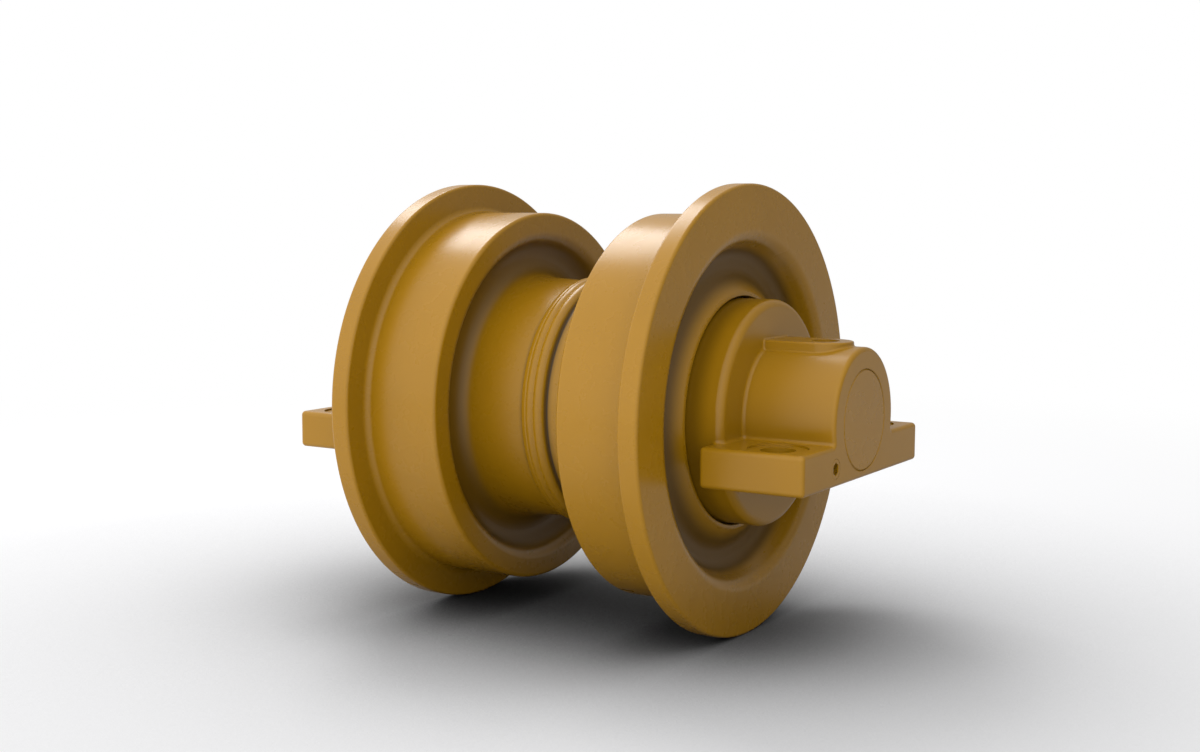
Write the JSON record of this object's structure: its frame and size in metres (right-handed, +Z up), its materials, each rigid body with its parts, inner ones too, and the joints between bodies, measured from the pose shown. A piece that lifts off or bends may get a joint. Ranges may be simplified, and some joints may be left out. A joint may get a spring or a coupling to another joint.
{
  "type": "single flange track roller",
  "caption": "Oil-filled undercarriage roller: two treads with outer guiding flanges on a welded shell, turning on a pinned shaft held by end collars with bolting lugs.",
  "frame": {"origin": "middle of the roller on its spin axis, which is also the centre of its box", "axes": "+Y along the spin axis, from the front collar (right and near in the picture) to the back collar; +Z up, away from the collars' flat seats, which face -Z; +X across"},
  "size_m": [0.3, 0.3948, 0.3],
  "materials": {
    "shell_paint": "gloss ochre paint",
    "weld_paint": "gloss ochre paint over a weld",
    "collar_paint": "gloss ochre paint",
    "shaft_paint": "ochre paint on the ends",
    "plug_paint": "ochre paint",
    "pin_steel": "ground steel",
    "bare_steel": "bare forged steel",
    "seal_iron": "lapped hard iron",
    "bush_bronze": "machined bronze",
    "rubber": "smooth black rubber"
  },
  "bodies": {
    "axle_group": {"shaft": "shaft_paint", "front_collar": "collar_paint", "back_collar": "collar_paint", "front_collar_ring": "rubber", "back_collar_ring": "rubber", "front_lock_pin": "pin_steel", "back_lock_pin": "pin_steel", "front_oil_plug": "plug_paint", "back_oil_plug": "plug_paint", "front_fixed_seal_ring": "seal_iron", "back_fixed_seal_ring": "seal_iron", "front_fixed_toric_ring": "rubber", "back_fixed_toric_ring": "rubber"},
    "roller_shell": {"front_shell_half": "shell_paint", "back_shell_half": "shell_paint", "weld_bead": "weld_paint", "inner_weld_bead": "bare_steel", "front_bush": "bush_bronze", "back_bush": "bush_bronze", "front_turning_seal_ring": "seal_iron", "back_turning_seal_ring": "seal_iron", "front_turning_toric_ring": "rubber", "back_turning_toric_ring": "rubber"}
  },
  "joints": [
    {"name": "shell_spin", "type": "hinge", "parent": "axle_group", "child": "roller_shell", "pos_m": [0, 0, 0], "axis": [0, 1, 0], "continuous": true}
  ]
}
